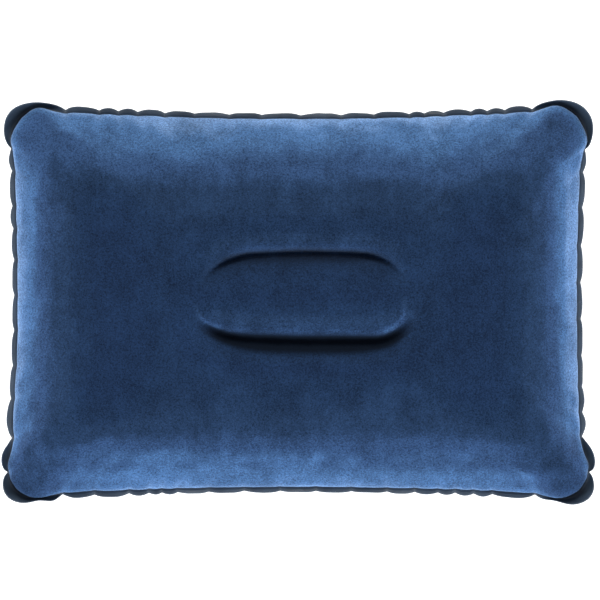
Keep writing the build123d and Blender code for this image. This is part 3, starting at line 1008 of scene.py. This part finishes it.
# ------------------------------------------------------------------ materials
class Shader:
    """Builds a node material; an input may be a value or another node's output."""

    def __init__(self, name, textured=True):
        self.material = bpy.data.materials.new(name)
        self.material.use_nodes = True
        self.tree = self.material.node_tree
        self.tree.nodes.clear()
        self.out = self.node("OutputMaterial")
        if textured:
            self.coord = self.node("TexCoord").outputs["Object"]

    def feed(self, value, socket):
        if hasattr(value, "links"):
            self.tree.links.new(value, socket)
        else:
            socket.default_value = value

    def node(self, kind, inputs=None, **settings):
        node = self.tree.nodes.new("ShaderNode" + kind)
        for key, value in settings.items():
            setattr(node, key, value)
        for key, value in (inputs or {}).items():
            self.feed(value, node.inputs[key])
        return node

    def noise(self, scale, detail=2, rough=0.5, distort=0.0, vector=None):
        return self.node("TexNoise", {
            "Scale": scale, "Detail": detail, "Roughness": rough, "Distortion": distort,
            "Vector": vector or self.coord}).outputs["Fac"]

    def voronoi(self, scale, feature="F1"):
        return self.node("TexVoronoi", {"Scale": scale, "Vector": self.coord},
                         feature=feature).outputs["Distance"]

    def stretch(self, scale, turn):
        """Object coordinates scaled, and turned about z."""
        return self.node("Mapping", {"Scale": scale, "Rotation": (0, 0, turn),
                                     "Vector": self.coord}).outputs[0]

    def math(self, operation, a, b=0.0):
        return self.node("Math", {0: a, 1: b}, operation=operation).outputs[0]

    def times(self, a, b):
        return self.math("MULTIPLY", a, b)

    def plus(self, a, b):
        return self.math("ADD", a, b)

    def weighted(self, *pairs):
        """Sum of (value, weight) pairs."""
        total = self.times(*pairs[0])
        for value, weight in pairs[1:]:
            total = self.plus(total, self.times(value, weight))
        return total

    def fit(self, value, span, to=(0, 1)):
        return self.node("MapRange", {"Value": value, "From Min": span[0], "From Max": span[1],
                                      "To Min": to[0], "To Max": to[1]}).outputs[0]

    def mix(self, factor, a, b, mode="MIX"):
        return self.node("Mix", {0: factor, 6: a, 7: b},
                         data_type="RGBA", blend_type=mode).outputs[2]

    def ramp(self, factor, stops):
        node = self.node("ValToRGB")
        node.color_ramp.interpolation = "EASE"
        elements = node.color_ramp.elements
        while len(elements) < len(stops):
            elements.new(0.5)
        for element, (position, color) in zip(elements, stops):
            element.position = position
            element.color = color
        self.feed(factor, node.inputs[0])
        return node.outputs[0]

    def attribute(self, name):
        return self.node("Attribute", attribute_name=name).outputs["Fac"]

    def facing(self, blend):
        return self.node("LayerWeight", {"Blend": blend}).outputs["Facing"]

    def bump(self, height, strength, distance, normal=None):
        inputs = {"Strength": strength, "Distance": distance, "Height": height}
        if normal is not None:
            inputs["Normal"] = normal
        return self.node("Bump", inputs).outputs[0]

    def principled(self, **inputs):
        named = {key.replace("_", " "): value for key, value in inputs.items()}
        surface = self.node("BsdfPrincipled", named)
        self.tree.links.new(surface.outputs[0], self.out.inputs[0])
        return self.material


def srgb(*channels):
    """Linear colour with full alpha from 0 to 255 sRGB channels."""
    shares = [c / 255.0 for c in channels]
    return (*(c / 12.92 if c <= 0.04045 else ((c + 0.055) / 1.055) ** 2.4 for c in shares), 1.0)


def flock_material():
    mat = Shader("flock_blue")
    face = mat.facing(blend=0.5)
    # patches of brushed pile, and strokes left by a hand
    patches = mat.noise(scale=26, detail=5, rough=0.62, distort=0.5)
    small_patches = mat.noise(scale=70, detail=4, rough=0.6, distort=0.3)
    strokes = mat.noise(scale=1.0, detail=4, rough=0.6, distort=0.4,
                        vector=mat.stretch(scale=(160, 26, 60), turn=0.06))
    # single tufts, under a millimetre
    pile = mat.noise(scale=1300, detail=3, rough=0.7)
    speck = mat.noise(scale=720, detail=2, rough=0.6)
    mottle = mat.weighted((patches, 0.50), (small_patches, 0.30), (strokes, 0.20))
    # painted sheen: the pile's colour lightens where it is seen aslant, less where painted shade
    # holds it back
    tilt = mat.times(mat.math("SQRT", face),
                     mat.math("SUBTRACT", 1.0, mat.times(mat.attribute("sheen_shade"), 0.80)))
    # painted light and shade laid on the pile, before the ramp turns it into colour
    tilt = mat.plus(tilt, mat.attribute("painted_lightness"))
    tilt = mat.plus(tilt, mat.times(mat.math("SUBTRACT", mottle, 0.5), 0.19))
    color = mat.ramp(tilt, [
        (0.00, srgb(23, 42, 71)), (0.12, srgb(25, 45, 74)), (0.25, srgb(31, 52, 82)),
        (0.40, srgb(45, 70, 108)), (0.57, srgb(65, 99, 144)), (0.73, srgb(98, 131, 177)),
        (0.92, srgb(121, 151, 194))])
    tone = mat.fit(mottle, span=(0.30, 0.70), to=(0.74, 1.28))
    grain = mat.fit(mat.weighted((pile, 0.55), (speck, 0.45)), span=(0.32, 0.68), to=(0.50, 1.58))
    # the ramp holds values up to 1, so the tint is halved going in and doubled after
    tint = mat.ramp(mat.times(mat.times(tone, grain), 0.5), [(0, (0, 0, 0, 1)), (1, (1, 1, 1, 1))])
    color = mat.mix(1.0, color, tint, "MULTIPLY")
    color = mat.mix(1.0, color, (2, 2, 2, 1), "MULTIPLY")
    # painted shade in the creases along the webs' weld lines: a painted shadow band and a darker
    # painted line
    weld_line_shade = mat.attribute("crease")
    color = mat.mix(mat.times(mat.attribute("fold"), 0.94), color, srgb(10, 18, 29))
    color = mat.mix(mat.times(weld_line_shade, 0.55), color, srgb(9, 16, 28))
    normal = mat.bump(mat.weighted((pile, 0.55), (speck, 0.45)), strength=0.55, distance=0.0006)
    normal = mat.bump(mat.weighted((patches, 0.6), (small_patches, 0.4)),
                      strength=0.25, distance=0.003, normal=normal)
    sheen = mat.times(mat.math("SUBTRACT", 1.0, mat.attribute("fold")), 0.26)
    return mat.principled(Base_Color=color, Roughness=0.92, Specular_IOR_Level=0.08,
                          Sheen_Weight=sheen, Sheen_Roughness=0.42,
                          Sheen_Tint=srgb(190, 208, 240), Normal=normal)


def film_material():
    mat = Shader("navy_film")
    cloud = mat.noise(scale=14, detail=4, rough=0.55, distort=0.2)
    grain = mat.voronoi(scale=1500)
    fine = mat.noise(scale=900, detail=3, rough=0.6)
    scuff = mat.noise(scale=1.0, detail=5, rough=0.7, distort=0.8,
                      vector=mat.stretch(scale=(420, 60, 60), turn=0.5))
    color = mat.mix(mat.fit(cloud, span=(0.3, 0.7)), srgb(30, 44, 70), srgb(38, 54, 84))
    color = mat.mix(mat.fit(scuff, span=(0.62, 0.80), to=(0, 0.35)), color, srgb(72, 88, 118))
    # welded places are darker and knurled
    weld = mat.math("MAXIMUM", mat.attribute("crease"), mat.attribute("ring"))
    knurl = mat.voronoi(scale=1000, feature="DISTANCE_TO_EDGE")
    color = mat.mix(mat.times(weld, 0.55), color, srgb(20, 30, 50))
    height = mat.weighted((grain, 0.5), (fine, 0.5))
    height = mat.mix(weld, height, mat.times(knurl, 3.0))
    normal = mat.bump(height, strength=0.35, distance=0.0003)
    normal = mat.bump(mat.noise(scale=120, detail=3, rough=0.5),
                      strength=0.12, distance=0.002, normal=normal)
    rough = mat.fit(mat.plus(cloud, mat.times(scuff, 0.5)), span=(0.4, 1.1), to=(0.34, 0.56))
    return mat.principled(Base_Color=color, Roughness=rough, Specular_IOR_Level=0.5,
                          Normal=normal)


def band_material():
    mat = Shader("weld_band_slate")
    cloud = mat.noise(scale=60, detail=4, rough=0.6, distort=0.3)
    fine = mat.noise(scale=1400, detail=3, rough=0.6)
    # fine ribs spaced along the band
    place = mat.node("CombineXYZ", {0: mat.attribute("seam_s"),
                                    1: mat.times(mat.attribute("across"), 6.0)})
    ribs = mat.node("TexWave", {"Scale": 0.42, "Distortion": 0.6, "Vector": place.outputs[0]},
                    bands_direction="X")
    edge = mat.fit(mat.attribute("across"), span=(0.86, 1.0))
    color = mat.mix(mat.fit(cloud, span=(0.3, 0.7)), srgb(42, 54, 69), srgb(62, 77, 95))
    # painted highlight: the band is lighter towards its outer edge
    color = mat.mix(mat.times(edge, 0.55), color, srgb(78, 92, 108))
    # stray flock caught in the weld
    color = mat.mix(mat.fit(fine, span=(0.60, 0.75), to=(0, 0.35)), color, srgb(62, 88, 130))
    # the hollow of each ear, next to the sheets, sits in shade
    hollow = mat.times(mat.attribute("ear"),
                       mat.fit(mat.attribute("across"), span=(0.22, 0.62), to=(1, 0)))
    color = mat.mix(mat.times(hollow, 0.80), color, srgb(16, 23, 38))
    height = mat.weighted((ribs.outputs["Fac"], 0.5), (fine, 0.5))
    normal = mat.bump(height, strength=0.4, distance=0.0004)
    rough = mat.fit(cloud, span=(0.3, 0.7), to=(0.42, 0.62))
    return mat.principled(Base_Color=color, Roughness=rough, Specular_IOR_Level=0.45,
                          Normal=normal)


def web_material():
    mat = Shader("web_film")
    cloud = mat.noise(scale=30, detail=4, rough=0.6, distort=0.2)
    color = mat.mix(mat.fit(cloud, span=(0.3, 0.7)), srgb(70, 92, 126), srgb(92, 116, 152))
    normal = mat.bump(mat.noise(scale=700, detail=3, rough=0.6), strength=0.2, distance=0.0003)
    return mat.principled(Base_Color=color, Roughness=0.42, Specular_IOR_Level=0.5,
                          Normal=normal, Transmission_Weight=0.15)


def valve_material(name, dark, light, rough):
    mat = Shader(name)
    cloud = mat.noise(scale=220, detail=4, rough=0.6, distort=0.2)
    fine = mat.noise(scale=2600, detail=3, rough=0.6)
    dirt = mat.noise(scale=520, detail=5, rough=0.7, distort=0.6)
    color = mat.mix(mat.fit(cloud, span=(0.3, 0.7)), dark, light)
    color = mat.mix(mat.fit(dirt, span=(0.60, 0.80), to=(0, 0.28)), color, srgb(112, 118, 122))
    # painted highlight: the plastic is lighter where it is seen aslant
    edge = mat.facing(blend=0.35)
    color = mat.mix(mat.fit(edge, span=(0.25, 0.9), to=(0, 0.45)), color, srgb(214, 224, 232))
    normal = mat.bump(mat.weighted((fine, 0.5), (cloud, 0.5)), strength=0.18, distance=0.0003)
    return mat.principled(Base_Color=color, Roughness=rough, Specular_IOR_Level=0.5,
                          Normal=normal, Subsurface_Weight=0.35,
                          Subsurface_Radius=(0.004, 0.005, 0.006), Subsurface_Scale=0.6,
                          Coat_Weight=0.12, Coat_Roughness=0.2)


def floor_material():
    """A pale, faintly glowing floor that can be seen through from below."""
    mat = Shader("floor_pale", textured=False)
    diffuse = mat.node("BsdfDiffuse", {"Color": (0.90, 0.90, 0.90, 1)})
    glow = mat.node("Emission", {"Color": (1, 1, 1, 1), "Strength": 0.80})
    pale = mat.node("AddShader", {0: diffuse.outputs[0], 1: glow.outputs[0]})
    clear = mat.node("BsdfTransparent")
    geometry = mat.node("NewGeometry")
    mixed = mat.node("MixShader", {0: geometry.outputs["Backfacing"], 1: pale.outputs[0],
                                   2: clear.outputs[0]})
    mat.feed(mixed.outputs[0], mat.out.inputs[0])
    return mat.material


def dress(obj, material):
    obj.data.materials.clear()
    obj.data.materials.append(material)


flock = flock_material()
film = film_material()
band = band_material()
web_film = web_material()
milk = valve_material("valve_milky", srgb(150, 166, 182), srgb(172, 186, 200), rough=0.36)
milk_cup = valve_material("valve_cup_milky", srgb(138, 156, 176), srgb(160, 176, 194), rough=0.44)
flap_film = valve_material("flap_film", srgb(120, 140, 166), srgb(142, 160, 184), rough=0.30)

for obj, material in ((flocked_top, flock), (film_underside, film), (weld_edge, band),
                      (inner_web_rear, web_film), (inner_web_front, web_film), (cup, milk_cup)):
    dress(obj, material)
for name, material in (("valve_base", milk), ("valve_stem", milk), ("valve_plug", milk),
                       ("valve_strap", milk), ("valve_flap", flap_film)):
    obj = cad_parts[name]
    if not obj.material_slots:
        obj.data.materials.append(material)
    for slot in obj.material_slots:
        slot.material = material

# ------------------------------------------------------------------ what rides on what
# object, body it rides on, node it replaces, slot name, height in mm
for obj, body, node, slot_name, anchor in (
        (flocked_top, "crown", "top_panel", "flock", TOP_Z),
        (film_underside, "underside", "bottom_panel", "underside_film", 0.0),
        (weld_edge, "edge", "edge_weld_band", "weld_band", 42.0),
        (inner_web_rear, "underside", "web_rear", "web_film", 0.0),
        (inner_web_front, "underside", "web_front", "web_film", 0.0)):
    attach(obj, body)
    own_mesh(obj)
    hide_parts(node)
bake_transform(cup)
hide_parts("valve_skirt")

# ------------------------------------------------------------------ studio, in metres
FLOOR_HALF, FLOOR_Z = 9, -0.0004
floor_mesh = bpy.data.meshes.new("floor")
floor_mesh.from_pydata([(x * FLOOR_HALF, y * FLOOR_HALF, FLOOR_Z)
                        for x, y in ((-1, -1), (1, -1), (1, 1), (-1, 1))], [], [(0, 1, 2, 3)])
floor = link_object("floor", floor_mesh)
dress(floor, floor_material())


def area(name, place, size, power, target=(0, 0, 0.05), color=(1, 1, 1)):
    """A rectangular light of the given (width, height) that faces its target."""
    light = bpy.data.lights.new(name, "AREA")
    light.shape = "RECTANGLE"
    light.size, light.size_y = size
    light.energy = power
    light.color = color
    obj = bpy.data.objects.new(name, light)
    obj.location = place
    obj.rotation_mode = "QUATERNION"
    obj.rotation_quaternion = (Vector(target) - Vector(place)).to_track_quat("-Z", "Y")
    scene.collection.objects.link(obj)


area("key", place=(0.05, -1.9, 1.42), size=(1.6, 0.8), power=43, color=(0.94, 0.98, 1.0))
area("rear", place=(-0.12, 1.9, 1.45), size=(1.6, 0.7), power=35, color=(1.0, 0.96, 0.87))
for name, x in (("side_left", -2.1), ("side_right", 2.1)):
    area(name, place=(x, 0.0, 0.62), size=(1.2, 0.7), power=16.5, color=(0.97, 0.98, 1.0))
area("overhead", place=(0, 0, 3.2), size=(2.4, 2.4), power=8, target=(0, 0, 0))
area("below_fill", place=(0.1, -0.5, -1.7), size=(1.6, 1.6), power=34, target=(0, 0, 0))

world = bpy.data.worlds.new("studio")
world.use_nodes = True
background = world.node_tree.nodes["Background"]
background.inputs["Color"].default_value = (0.93, 0.95, 1.0, 1)
background.inputs["Strength"].default_value = 0.22
scene.world = world
scene.view_settings.view_transform = "Standard"
scene.view_settings.look = "None"

# the camera looks straight down and takes in a set width at a set height
CAMERA_Z, VIEW_Z, VIEW_WIDTH = 2.6, 0.045, 0.447
SENSOR_WIDTH = 36.0
camera_data = bpy.data.cameras.new("camera")
camera_data.sensor_width = SENSOR_WIDTH
camera_data.lens = SENSOR_WIDTH * (CAMERA_Z - VIEW_Z) / VIEW_WIDTH
camera = link_object("camera", camera_data)
camera.location = (0.0020, 0.0015, CAMERA_Z)
scene.camera = camera
